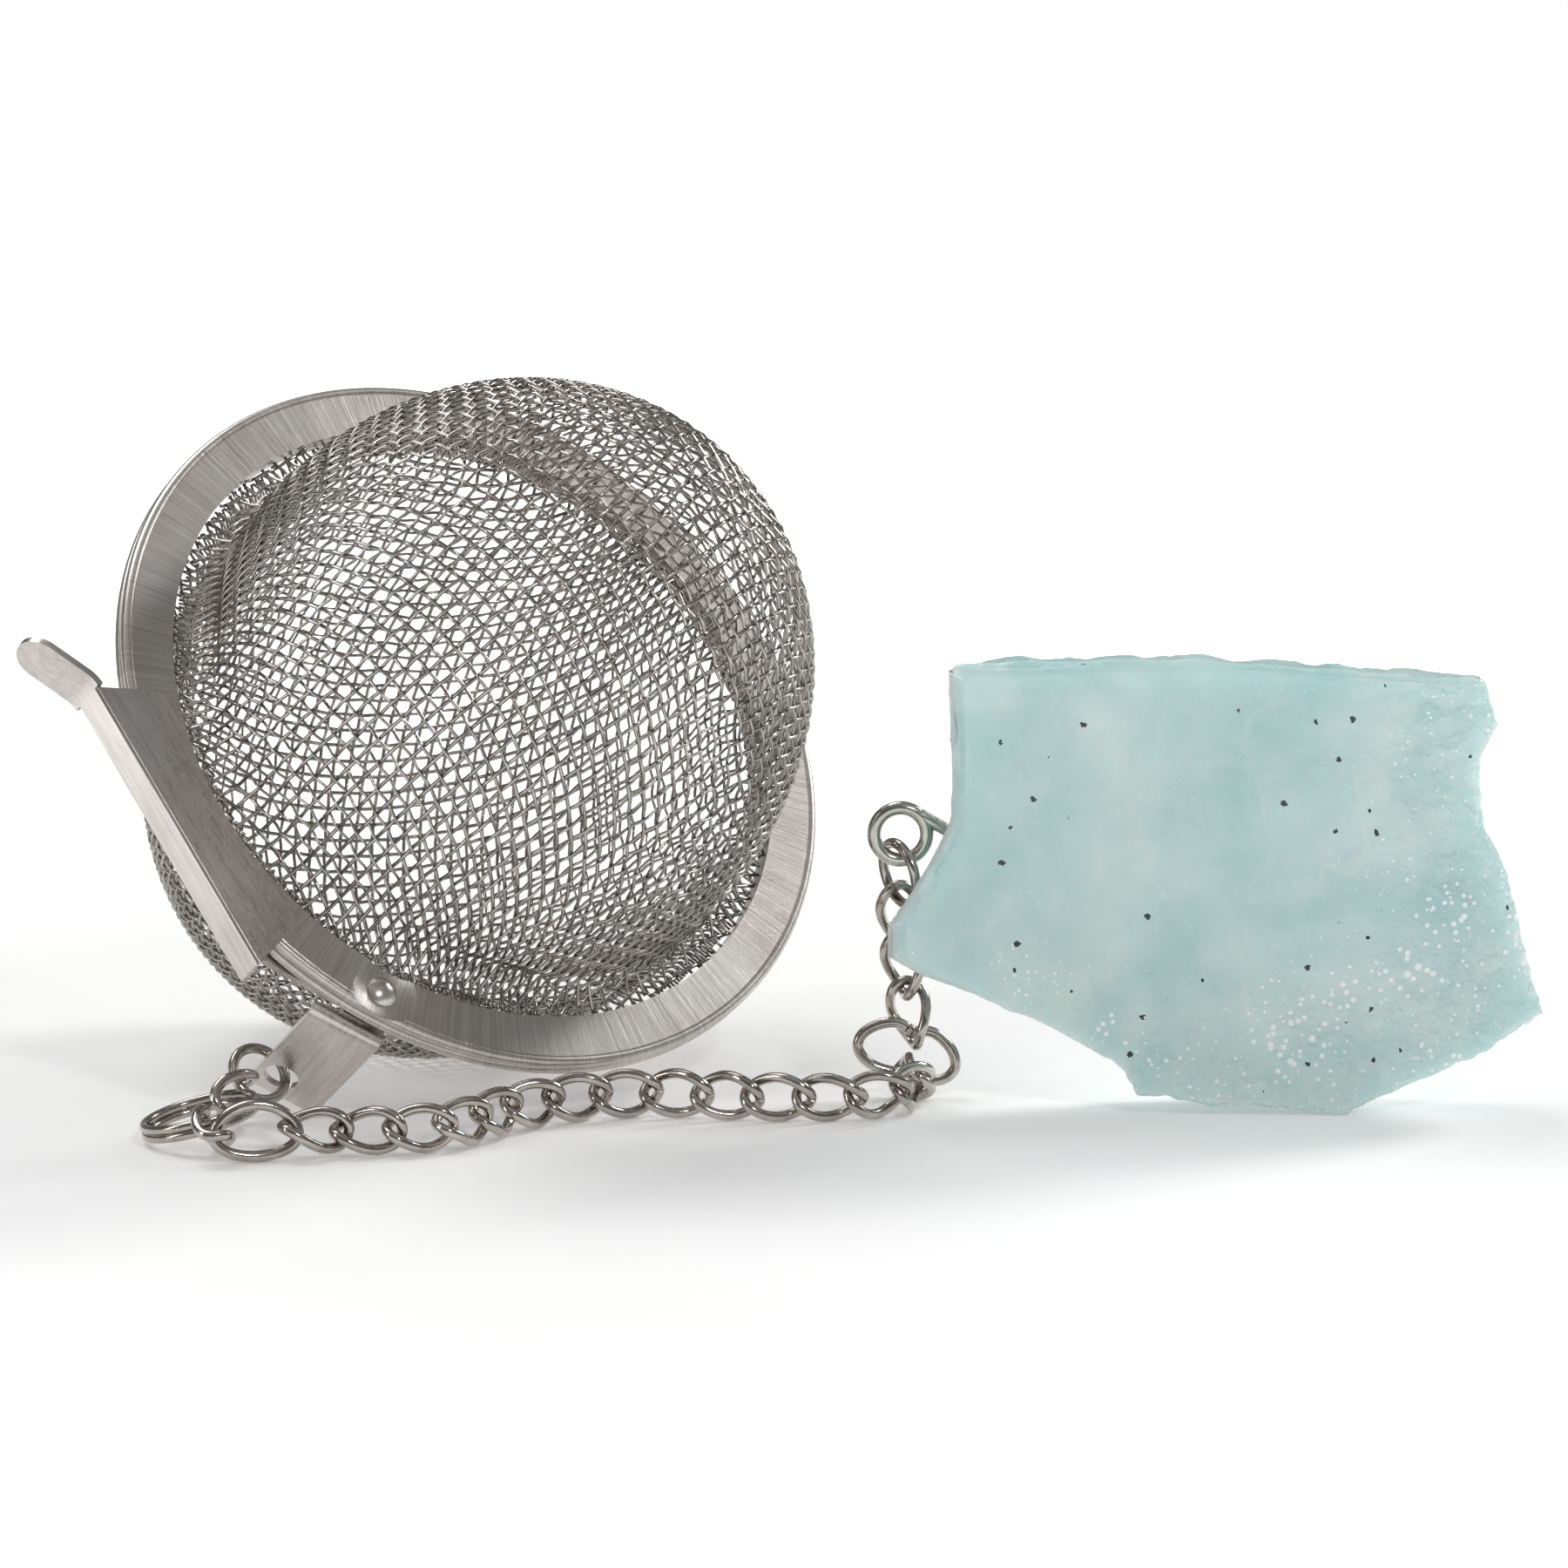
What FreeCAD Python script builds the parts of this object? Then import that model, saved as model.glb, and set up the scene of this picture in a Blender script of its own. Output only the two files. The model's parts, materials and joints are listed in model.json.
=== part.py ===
import FreeCAD, Part
import math
import os

# Mesh tea ball on a chain with a stone pendant, lying on a table.
# Millimetres, +Z up, the table is z = 0, and the origin is the middle of the whole
# object's footprint on it. The ball is drawn in its own frame, with Z along the
# axis from the cup to the lid and X towards the rivet, and is then tipped over.

V = FreeCAD.Vector

# Rims: two flat hemmed rings, face to face at the ball's z = 0.
RIM_OUTER_R = 28.5
RIM_INNER_R = 24.6
RIM_GAP = 0.03            # half of the gap between the two rims
BEAD_R = 0.45             # rolled outer edge
FLANGE_DROP = 0.1         # the flange lies this much below the bead
DIMPLE_R = 2.5
DIMPLE_DEPTH = 0.5

# Mesh bowls.
MESH_RIM_R = 24.4         # outside radius where it leaves the rim
MESH_R = 22.3             # outside radius of the dome's foot
MESH_DEPTH = 28.0         # from the dome's foot to the pole
MESH_THICK = 0.5
MESH_START = 0.12         # height at which it leaves the rim

# Rivet that joins lid, cup, latch and chain tab.
RIVET_AT = 26.2
RIVET_SHANK_R = 0.75
RIVET_HOLE_R = 0.8
RIVET_HEAD_R = 1.15
RIVET_HEAD_H = 0.45

# Latch: a channel over both rims, tangent to them, with an arm to the rivet.
SHEET = 0.5
LATCH_ANGLE = -39.2       # where the channel touches the rims, from the rivet
LATCH_HALF = 11.6
SPINE_OFFSET = 28.75      # inside face of the channel's web
JAW_INNER_R = 25.5        # front jaw follows the mesh
JAW_Z = 1.0               # inside face of the front jaw
ARM_TOP = -1.0
ARM_W = 3.2
TONGUE_BEND = 31.0
TONGUE_BEND_R = 2.5
TONGUE_LENGTH = 5.0
TONGUE_W = 3.8

# Chain tab: a bracket behind the latch arm.
TAB_TOP = -1.6
TAB_FACE = 28.7           # inner face of the bent leg
TAB_BEND_R = 0.9
TAB_Y = (-3.9, 1.7)
TAB_FOOT_Y = -1.7         # the foot is narrower than the leg, clear of the swinging cup
TAB_FOOT_R = 1.45         # its round end under the rivet
TAB_END = -12.43
TAB_HOLE_R = 1.3
TAB_HOLE_Y = -2.1
TAB_HOLE_Z = -10.2

# Lie of the ball on the table.
AXIS_RISE = 36.6
AXIS_TURN = -52.7
RIVET_CLOCK = 39.3
BALL_HEIGHT = 26.1

# Chain: twisted curb links, three rings and two larger links.
WIRE = 0.75
HOOK = 0.55               # from a wire's middle to the point where two links meet
PITCH = 3.7
LINK_HALF_W = 1.42
LINK_TWIST = 46.0
LINK_SQUARE = 2.4         # 2 is an ellipse, more is squarer
TAB_RING_R = 2.05
SPLIT_RING_R = 4.0
SPLIT_WIRE = 0.66
SPLIT_RING_TILT = 14.0
JUMP_RING_R = 2.3
BIG_WIRE = 0.8
FRONT_LINK = (5.85, 3.6)  # length and width of the wire's middle line
BACK_LINK = (7.25, 4.1)
BACK_LINK_NOTCH = (0.5, 0.9)    # depth of the notch in its top, and half its width
BACK_LINK_BOW = (0.35, 1.6)     # the same for the bow in its bottom

# Pendant.
EYE_R = 1.9
EYE_WIRE = 1.0
EYE_STEM = 6.0
EYE_STEM_ANGLE = 60.0     # where the stem leaves the eye, up from +X
EYE_CENTRE = V(31.2, -11.0, 19.8)
STONE_MIDDLE = (54.0, 16.5)     # x and z that its layers shrink towards
STONE_NOSE = (42.0, 8.0)  # the nose starts at this x, and is drawn in fully this far left
STONE_HOLE_R = 0.52
STONE_OUTLINE = [         # x and z, clockwise from the upper left corner
    (34.3, 32.1), (35.2, 32.9), (44.0, 33.2), (52.9, 33.3), (58.8, 32.9), (66.0, 32.3),
    (72.4, 31.9), (73.4, 28.0), (72.3, 25.5), (72.7, 21.0), (74.3, 17.9), (75.6, 13.4),
    (77.3, 7.4), (73.0, 4.5), (69.2, 2.9), (63.0, 0.0), (55.0, 0.6), (47.9, 1.3),
    (46.3, 3.8), (41.6, 6.4), (37.2, 8.3), (32.8, 9.9), (30.3, 11.5), (30.2, 14.1),
    (31.9, 16.6), (34.0, 20.4), (34.6, 21.7), (34.5, 25.5),
]
STONE_LAYERS = [          # y, size of the outline, how far its left end is drawn in
    (-16.4, 0.95, 0.6),
    (-15.3, 1.0, 0.0),
    (-13.4, 1.0, 1.6),
    (-8.6, 0.93, 4.6),
]


def turned(vector, axis, degrees):
    return FreeCAD.Rotation(axis, degrees).multVec(vector)


def ball_axes():
    """Directions of the ball's own X (to the rivet), Y and Z (the axis) at rest."""
    rise, turn = math.radians(AXIS_RISE), math.radians(AXIS_TURN)
    level = V(math.cos(turn), math.sin(turn), 0)
    axis = level * math.cos(rise) + V(0, 0, math.sin(rise))
    down = level * math.sin(rise) - V(0, 0, math.cos(rise))
    to_rivet = turned(down, axis, -RIVET_CLOCK)
    return to_rivet, axis.cross(to_rivet), axis


BALL_X, BALL_Y, BALL_Z = ball_axes()
BALL_CENTRE = V(0, 0, BALL_HEIGHT)


def at_ball(x, y, z):
    """A point of the ball's own frame, on the table."""
    return BALL_CENTRE + BALL_X * x + BALL_Y * y + BALL_Z * z


def frame_of(origin, along, across):
    """Placement with X along, Y as near across as possible."""
    x = V(along).normalize()
    z = x.cross(across).normalize()
    y = z.cross(x)
    matrix = FreeCAD.Matrix(
        x.x, y.x, z.x, origin.x,
        x.y, y.y, z.y, origin.y,
        x.z, y.z, z.z, origin.z,
        0, 0, 0, 1,
    )
    return FreeCAD.Placement(matrix)


BALL_PLACE = frame_of(BALL_CENTRE, BALL_X, BALL_Y)


def closed_face(edges):
    return Part.Face(Part.Wire(Part.__sortEdges__(edges)))


def polygon(points):
    return Part.Face(Part.makePolygon([V(*p) for p in list(points) + [points[0]]]))


def bar(x0, x1, y0, y1, z0, z1):
    return Part.makeBox(x1 - x0, y1 - y0, z1 - z0, V(x0, y0, z0))


def rod(radius, z0, z1, x=0.0, y=0.0):
    return Part.makeCylinder(radius, z1 - z0, V(x, y, z0))


def on_circle(radius, angle, hub=V(0, 0, 0)):
    return hub + V(math.cos(angle), math.sin(angle), 0) * radius


def mirrored(shape):
    """The same shape on the cup's side of the rims."""
    return shape.mirror(V(0, 0, 0), V(0, 0, 1))


# ---------------------------------------------------------------- ball

def plain_rim():
    """A ring with a flat flange and a rolled outer edge, above z = 0."""
    low, high = RIM_GAP, RIM_GAP + 2 * BEAD_R
    bead = RIM_OUTER_R - BEAD_R
    flange = high - FLANGE_DROP
    lean = math.sqrt(BEAD_R ** 2 - (BEAD_R - FLANGE_DROP) ** 2)
    corner = [
        V(RIM_INNER_R, 0, low),
        V(bead, 0, low),
        V(bead - lean, 0, flange),
        V(RIM_INNER_R, 0, flange),
    ]
    edges = [
        Part.makeLine(corner[0], corner[1]),
        Part.Arc(corner[1], V(RIM_OUTER_R, 0, low + BEAD_R), corner[2]).toShape(),
        Part.makeLine(corner[2], corner[3]),
        Part.makeLine(corner[3], corner[0]),
    ]
    return closed_face(edges).revolve(V(0, 0, 0), V(0, 0, 1), 360)


def lid_rim():
    """The lid's rim, with the pressed dimple that the rivet's head sinks into."""
    floor = RIM_GAP + 2 * BEAD_R - FLANGE_DROP - DIMPLE_DEPTH
    ball_r = (DIMPLE_R ** 2 + DIMPLE_DEPTH ** 2) / (2 * DIMPLE_DEPTH)
    dimple = Part.makeSphere(ball_r, V(RIVET_AT, 0, floor + ball_r))
    hole = rod(RIVET_HOLE_R, -1, 2, RIVET_AT)
    return plain_rim().cut(dimple).cut(hole)


def cup_rim():
    return mirrored(plain_rim()).cut(rod(RIVET_HOLE_R, -2, 1, RIVET_AT))


def bowl_line(inset):
    """Half profile of a bowl: a brim that turns up from the rim into a deep dome."""
    brim_r = MESH_RIM_R - MESH_R
    foot = MESH_START + MESH_THICK + brim_r
    edge, pole = V(MESH_R - inset, 0, foot), V(0, 0, foot + MESH_DEPTH - inset)
    hub = V(MESH_RIM_R, 0, foot)
    turn_r = brim_r + inset
    half_way = hub + V(-turn_r, 0, -turn_r) * math.sqrt(0.5)
    brim = Part.Arc(hub - V(0, 0, turn_r), half_way, edge).toShape()
    curve = Part.Ellipse(pole, edge, V(0, 0, foot))
    first, last = sorted((curve.parameter(edge), curve.parameter(pole)))
    if last - first > math.pi:
        first, last = last, first + 2 * math.pi
    return [brim, curve.toShape(first, last)], hub - V(0, 0, turn_r), pole


def bowl():
    """One mesh bowl as a thin closed skin."""
    outer, outer_start, outer_pole = bowl_line(0)
    inner, inner_start, inner_pole = bowl_line(MESH_THICK)
    ends = [Part.makeLine(inner_start, outer_start), Part.makeLine(inner_pole, outer_pole)]
    return closed_face(outer + inner + ends).revolve(V(0, 0, 0), V(0, 0, 1), 360)


def rivet():
    """Shank with a low round head in the dimple and a flat one behind the tab."""
    seat = RIM_GAP + 2 * BEAD_R - FLANGE_DROP - DIMPLE_DEPTH
    back = TAB_TOP - SHEET
    shank = rod(RIVET_SHANK_R, back - 0.1, seat + 0.2, RIVET_AT)
    dome_r = (RIVET_HEAD_R ** 2 + RIVET_HEAD_H ** 2) / (2 * RIVET_HEAD_H)
    dome = Part.makeSphere(dome_r, V(RIVET_AT, 0, seat + 0.15 + RIVET_HEAD_H - dome_r))
    head = rod(RIVET_HEAD_R, seat + 0.13, seat + 1.5, RIVET_AT).common(dome)
    tail = rod(RIVET_HEAD_R, back - 0.5, back - 0.02, RIVET_AT)
    tail = tail.makeFillet(0.2, [tail.Edges[2]])
    return shank.fuse([head, tail]).removeSplitter()


# ---------------------------------------------------------------- latch

def jaw_outline(inner_r):
    """Face of a jaw between the channel's web and a circle about the ball's axis."""
    reach = math.atan2(LATCH_HALF, SPINE_OFFSET)
    left, middle, right = (on_circle(inner_r, angle) for angle in (-reach, 0, reach))
    web = SPINE_OFFSET + SHEET / 2
    edges = [
        Part.makeLine(V(web, -LATCH_HALF, 0), V(web, LATCH_HALF, 0)),
        Part.makeLine(V(web, LATCH_HALF, 0), right),
        Part.Arc(right, middle, left).toShape(),
        Part.makeLine(left, V(web, -LATCH_HALF, 0)),
    ]
    return closed_face(edges)


def latch_jaw(inner_r, z0):
    """One jaw of the channel, with its two inner corners rounded."""
    jaw = jaw_outline(inner_r).extrude(V(0, 0, SHEET))
    jaw.translate(V(0, 0, z0))
    inner = [
        e for e in jaw.Edges
        if abs(e.Length - SHEET) < 1e-6 and math.hypot(e.Vertexes[0].X, e.Vertexes[0].Y) < inner_r + 0.01
    ]
    return jaw.makeFillet(1.8, inner)


def latch_web():
    web = bar(
        SPINE_OFFSET, SPINE_OFFSET + SHEET, -LATCH_HALF, LATCH_HALF,
        ARM_TOP - SHEET, JAW_Z + SHEET,
    )
    outer = [
        e for e in web.Edges
        if abs(e.Length - 2 * LATCH_HALF) < 1e-6 and e.BoundBox.XMin > SPINE_OFFSET + 0.1
    ]
    return web.makeFillet(0.35, outer)


def latch_tongue():
    """Thumb tongue: the web carried on past the far end and bent away from the ball."""
    mid = (JAW_Z + ARM_TOP) / 2
    bend = math.radians(TONGUE_BEND)
    inner, outer = TONGUE_BEND_R, TONGUE_BEND_R - SHEET
    hub = V(SPINE_OFFSET + TONGUE_BEND_R, -LATCH_HALF, 0)
    way = V(math.sin(bend), -math.cos(bend), 0)
    starts, halves, ends = (
        [on_circle(r, math.pi + turn, hub) for r in (inner, outer)] for turn in (0, bend / 2, bend)
    )
    tips = [p + way * TONGUE_LENGTH for p in ends]
    edges = [
        Part.Arc(starts[0], halves[0], ends[0]).toShape(),
        Part.makeLine(ends[0], tips[0]),
        Part.makeLine(tips[0], tips[1]),
        Part.makeLine(tips[1], ends[1]),
        Part.Arc(starts[1], halves[1], ends[1]).toShape(),
        Part.makeLine(starts[0], starts[1]),
    ]
    strip = closed_face(edges).extrude(V(0, 0, TONGUE_W))
    strip.translate(V(0, 0, mid - TONGUE_W / 2))
    far = [
        e for e in strip.Edges
        if abs(e.Length - SHEET) < 1e-6 and (e.CenterOfMass - tips[0]).Length < TONGUE_W
    ]
    return strip.makeFillet(TONGUE_W / 2 - 0.02, far)


def latch_arm():
    """Flat strip behind the rims from the channel's near end to the rivet."""
    here = turned(V(RIVET_AT, 0, 0), V(0, 0, 1), -LATCH_ANGLE)
    root = V(SPINE_OFFSET - 2.6, LATCH_HALF - 2.5, 0)
    way = (here - root)
    side = V(-way.y, way.x, 0).normalize() * (ARM_W / 2)
    strip = polygon([tuple(root + side), tuple(here + side), tuple(here - side), tuple(root - side)])
    strip = strip.extrude(V(0, 0, SHEET))
    end = Part.makeCylinder(ARM_W / 2, SHEET, here)
    arm = strip.fuse(end)
    arm.translate(V(0, 0, ARM_TOP - SHEET))
    return arm


def latch_lever():
    front = latch_jaw(JAW_INNER_R, JAW_Z)
    back = latch_jaw(JAW_INNER_R, ARM_TOP - SHEET)
    lever = front.fuse([back, latch_web(), latch_tongue(), latch_arm()]).removeSplitter()
    lever.rotate(V(0, 0, 0), V(0, 0, 1), LATCH_ANGLE)
    return lever.cut(rod(RIVET_HOLE_R, ARM_TOP - 2, ARM_TOP + 1, RIVET_AT))


def tab_corner(radius):
    """Middle of the tab's bend, on its inner or outer face."""
    hub = V(TAB_FACE + SHEET - TAB_BEND_R, 0, TAB_TOP - TAB_BEND_R)
    return hub + V(radius * math.sqrt(0.5), 0, radius * math.sqrt(0.5))


def tab_strip():
    """The tab's foot and leg in one strip, as wide as the leg."""
    y0, y1 = TAB_Y
    outside = TAB_FACE + SHEET
    bend_x, bend_z = outside - TAB_BEND_R, TAB_TOP - TAB_BEND_R
    profile = [
        V(RIVET_AT, 0, TAB_TOP),
        V(bend_x, 0, TAB_TOP),
        V(outside, 0, bend_z),
        V(outside, 0, TAB_END),
        V(TAB_FACE, 0, TAB_END),
        V(TAB_FACE, 0, bend_z),
        V(bend_x, 0, TAB_TOP - SHEET),
        V(RIVET_AT, 0, TAB_TOP - SHEET),
    ]
    edges = [Part.makeLine(profile[i], profile[(i + 1) % 8]) for i in (0, 2, 3, 4, 6, 7)]
    edges.append(Part.Arc(profile[1], tab_corner(TAB_BEND_R), profile[2]).toShape())
    edges.append(Part.Arc(profile[5], tab_corner(TAB_BEND_R - SHEET), profile[6]).toShape())
    strip = closed_face(edges).extrude(V(0, y1 - y0, 0))
    strip.translate(V(0, y0, 0))
    ends = [
        e for e in strip.Edges
        if abs(e.Length - SHEET) < 1e-6 and e.BoundBox.ZMax < TAB_END + 0.01 and e.BoundBox.YLength < 0.01
    ]
    return strip.makeFillet(1.0, ends)


def chain_tab():
    """Bracket: a foot under the rivet and a leg bent back along the ball, with a hole."""
    back = TAB_TOP - SHEET
    narrow = bar(RIVET_AT - 1, TAB_FACE - 0.6, TAB_Y[0] - 1, TAB_FOOT_Y, back - 1, TAB_TOP + 1)
    end = rod(TAB_FOOT_R, back, TAB_TOP, RIVET_AT)
    tab = tab_strip().cut(narrow).fuse(end).removeSplitter()
    eye = Part.makeCylinder(TAB_HOLE_R, 3, V(TAB_FACE - 1, TAB_HOLE_Y, TAB_HOLE_Z), V(1, 0, 0))
    return tab.cut(eye).cut(rod(RIVET_HOLE_R, back - 1, TAB_TOP + 1, RIVET_AT))


# ---------------------------------------------------------------- chain pieces

def loop_of(points, wire):
    """A round wire bent along a closed smooth line, swept in two halves."""
    line = Part.BSplineCurve()
    line.interpolate(Points=points, PeriodicFlag=True)
    start, end = line.FirstParameter, line.LastParameter
    middle = line.parameter(points[len(points) // 2])
    halves = []
    for first, last in ((start, middle), (middle, end)):
        path = line.toShape(first, last)
        section = Part.makeCircle(wire / 2, path.valueAt(first), path.tangentAt(first))
        sweep = Part.Wire([path]).makePipeShell([Part.Wire([section])], True, True)
        halves.append(sweep)
    return halves[0].fuse(halves[1]).Solids[0]


def twisted_point(turn):
    """Centre line of a curb link: a squarish oval whose ends are twisted apart."""
    half = PITCH / 2 + HOOK
    wide = LINK_HALF_W * abs(math.sin(turn)) ** (2 / LINK_SQUARE)
    wide = math.copysign(wide, math.sin(turn))
    roll = math.radians(LINK_TWIST) * math.cos(turn)
    return V(half * math.cos(turn), wide * math.cos(roll), wide * math.sin(roll))


def curb_link():
    count = 20
    return loop_of([twisted_point(2 * math.pi * i / count) for i in range(count)], WIRE)


def front_point(turn):
    """Centre line of the front link: a rounded triangle, its flat side down (-Y)."""
    length, width = FRONT_LINK
    x = length / 2 * math.cos(turn) * (1 - 0.16 * math.sin(turn))
    return V(x, width / 2 * math.sin(turn), 0)


def back_point(turn):
    """Centre line of the back link: like the front one, with a notch in its top."""
    length, width = BACK_LINK
    x = length / 2 * math.cos(turn) * (1 - 0.12 * math.sin(turn))
    y = width / 2 * math.sin(turn)
    depth, half = BACK_LINK_NOTCH if y > 0 else BACK_LINK_BOW
    dip = depth * math.exp(-(x / half) ** 2)
    return V(x, y - math.copysign(dip, y), 0)


def big_link(point):
    count = 28
    return loop_of([point(2 * math.pi * i / count) for i in range(count)], BIG_WIRE)


def split_ring():
    """Flat double coil, drawn as two turns of wire pressed together."""
    lift = SPLIT_WIRE * 0.47
    low = Part.makeTorus(SPLIT_RING_R, SPLIT_WIRE / 2, V(0, 0, -lift))
    high = Part.makeTorus(SPLIT_RING_R, SPLIT_WIRE / 2, V(0, 0, lift))
    return low.fuse(high)


# ---------------------------------------------------------------- chain lie

# Middle of the chain where it lies loose, from the front link to the back link.
RUN = [
    (-11.1, -28.8, 2.1),
    (-8.6, -28.0, 1.9),
    (-5.4, -27.6, 1.82),
    (-2.0, -26.8, 1.82),
    (0.8, -24.6, 1.82),
    (3.4, -21.0, 1.82),
    (6.6, -18.2, 1.82),
    (10.2, -16.5, 1.82),
    (14.4, -15.9, 1.82),
    (19.5, -17.0, 1.82),
    (24.5, -17.4, 1.82),
    (29.2, -16.8, 1.82),
    (32.4, -13.6, 1.9),
    (31.5, -9.4, 1.8),
]
RUN_LINKS = 15
RISE_LINKS = 3
FRONT_LINK_LEFT = V(-16.8, -30.0, 2.2)
FRONT_LINK_WAY = V(1.0, 0.22, 0.0)
FRONT_LINK_UP = V(0.0, 0.2, 1.0)
BACK_LINK_MIDDLE = V(31.8, -9.3, 3.4)
BACK_LINK_WAY = V(1.0, 0.0, -0.28)
BACK_LINK_UP = V(0.0, 0.1, 1.0)
BACK_LINK_GRIP = 0.1      # where the run hooks the back link's lower wire
SPLIT_RING_MIDDLE = V(-18.4, -23.6, 1.9)
TAB_RING_LEAN = 30.0
TAB_RING_SLIP = 0.2
JUMP_RING_ROLL = -60.0
LINK_ROLLS = [
    -10, 45, -45, -35, -25, -30, -20, -15, -10, -10,
    -10, -10, -5, 5, 5, 0, -5, -35, -30, -20,
]


def settled(route, steps):
    """Points near a drawn route, exactly the given steps apart, both ends kept."""
    line = Part.BSplineCurve()
    line.interpolate([V(*p) for p in route])
    first, last = line.FirstParameter, line.LastParameter
    whole = sum(steps)
    points, gone = [V(*route[0])], 0.0
    for step in steps:
        gone += step
        points.append(line.value(first + (last - first) * gone / whole))
    count = len(steps)
    for _ in range(300):
        points[-1] = V(*route[-1])
        for i in reversed(range(count)):
            points[i] = points[i + 1] + (points[i] - points[i + 1]).normalize() * steps[i]
        points[0] = V(*route[0])
        for i in range(count):
            points[i + 1] = points[i] + (points[i + 1] - points[i]).normalize() * steps[i]
    return points


def link_steps(count):
    """Steps of a row of links that runs from one big wire to another."""
    if count == 1:
        return [PITCH - 2 * HOOK]
    return [PITCH - HOOK] + [PITCH] * (count - 2) + [PITCH - HOOK]


def links_between(points):
    """Hook points of each link in a row whose two ends pass round a big wire."""
    pairs = [[points[i], points[i + 1]] for i in range(len(points) - 1)]
    first = (pairs[0][1] - pairs[0][0]).normalize()
    last = (pairs[-1][1] - pairs[-1][0]).normalize()
    pairs[0][0] = pairs[0][0] - first * HOOK
    pairs[-1][1] = pairs[-1][1] + last * HOOK
    return pairs


def nearest_on_ring(middle, normal, radius, point):
    """Middle of a ring's wire where it is nearest to a point."""
    normal = V(normal).normalize()
    toward = point - middle
    toward = toward - normal * toward.dot(normal)
    return middle + toward.normalize() * radius


def chain_lie():
    """Every chain piece in order from the tab: (kind, start, end)."""
    lie = []
    hole = at_ball(TAB_FACE + SHEET / 2, TAB_HOLE_Y, TAB_HOLE_Z)
    out = turned(-BALL_Y, BALL_Z, TAB_RING_LEAN)
    ring_middle = hole + out * (TAB_RING_R - TAB_RING_SLIP)
    lie.append(("tab_ring", ring_middle - out, ring_middle + out))

    tilt = FreeCAD.Rotation(V(0, -1, 0), SPLIT_RING_TILT)
    flat = tilt.multVec(V(0, 0, 1))
    side = out.cross(BALL_X)
    tab_wire = nearest_on_ring(ring_middle, side, TAB_RING_R, SPLIT_RING_MIDDLE)
    near_wire = nearest_on_ring(SPLIT_RING_MIDDLE, flat, SPLIT_RING_R, tab_wire)
    row = links_between([tab_wire, near_wire])
    lie += [("curb", a, b) for a, b in row]
    lie.append(("split_ring", SPLIT_RING_MIDDLE, SPLIT_RING_MIDDLE + flat))

    far_wire = nearest_on_ring(SPLIT_RING_MIDDLE, flat, SPLIT_RING_R, FRONT_LINK_LEFT)
    row = links_between([far_wire, FRONT_LINK_LEFT])
    lie += [("curb", a, b) for a, b in row]
    way = V(FRONT_LINK_WAY).normalize()
    front_right = FRONT_LINK_LEFT + way * FRONT_LINK[0]
    lie.append(("front_link", FRONT_LINK_LEFT, front_right))

    place = frame_of(BACK_LINK_MIDDLE, BACK_LINK_WAY, BACK_LINK_UP)
    below = place.multVec(V(BACK_LINK_GRIP, BACK_LINK_BOW[0] - BACK_LINK[1] / 2, 0))
    above = place.multVec(V(0, BACK_LINK[1] / 2 - BACK_LINK_NOTCH[0], 0))
    route = [tuple(front_right)] + RUN[1:-1] + [tuple(below)]
    row = links_between(settled(route, link_steps(RUN_LINKS)))
    lie += [("curb", a, b) for a, b in row]
    way = V(BACK_LINK_WAY).normalize() * (BACK_LINK[0] / 2)
    lie.append(("back_link", BACK_LINK_MIDDLE - way, BACK_LINK_MIDDLE + way))

    eye_wire = EYE_CENTRE - V(0, 0, EYE_R)
    steps = link_steps(RISE_LINKS) + [2 * JUMP_RING_R - 2 * HOOK]
    middle = (above + eye_wire) * 0.5 + V(-0.3, 0.8, 0)
    points = settled([tuple(above), tuple(middle), tuple(eye_wire)], steps)
    row = links_between(points[:-1])
    lie += [("curb", a, b) for a, b in row]
    hang = (points[-2] - points[-1]).normalize()
    lie.append(("jump_ring", points[-2], points[-2] - hang * (2 * JUMP_RING_R)))
    lie.append(("peg_eye", eye_wire, EYE_CENTRE))
    return lie


def across_of(start, end, roll):
    """The side direction of a link: up (or +X where it hangs), rolled about the link."""
    along = (end - start).normalize()
    side = V(1, 0, 0) if abs(along.z) > 0.75 else V(0, 0, 1)
    side = side - along * side.dot(along)
    return turned(side, along, roll)


def placed(shape, start, end, across):
    shape.Placement = frame_of((start + end) * 0.5, end - start, across)
    return shape


# ---------------------------------------------------------------- pendant

def stem_rod(radius, length):
    """A rod from the eye along its tail."""
    turn = math.radians(EYE_STEM_ANGLE)
    root = EYE_CENTRE + V(math.cos(turn), 0, math.sin(turn)) * EYE_R
    return Part.makeCylinder(radius, length, root, V(math.sin(turn), 0, -math.cos(turn)))


def peg_eye():
    """Wire bent into an eye, its tail running on into the stone."""
    eye = Part.makeTorus(EYE_R, EYE_WIRE / 2, EYE_CENTRE, V(0, 1, 0))
    return eye.fuse(stem_rod(EYE_WIRE / 2 - 0.03, EYE_STEM)).removeSplitter()


def stone_layer(y, size, drawn_in):
    middle_x, middle_z = STONE_MIDDLE
    nose_x, nose_length = STONE_NOSE
    points = []
    for x, z in STONE_OUTLINE:
        pull = drawn_in * min(1.0, max(0.0, (nose_x - x) / nose_length))
        x = middle_x + (x + pull - middle_x) * size
        z = middle_z + (z - middle_z) * size
        points.append(V(x, y, z))
    return Part.makePolygon(points + [points[0]])


def stone():
    """Rough flat crystal, drilled for the eye's tail."""
    rough = Part.makeLoft([stone_layer(*layer) for layer in STONE_LAYERS], True, True)
    return rough.cut(stem_rod(STONE_HOLE_R, EYE_STEM + 0.3))


# ---------------------------------------------------------------- whole object

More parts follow.
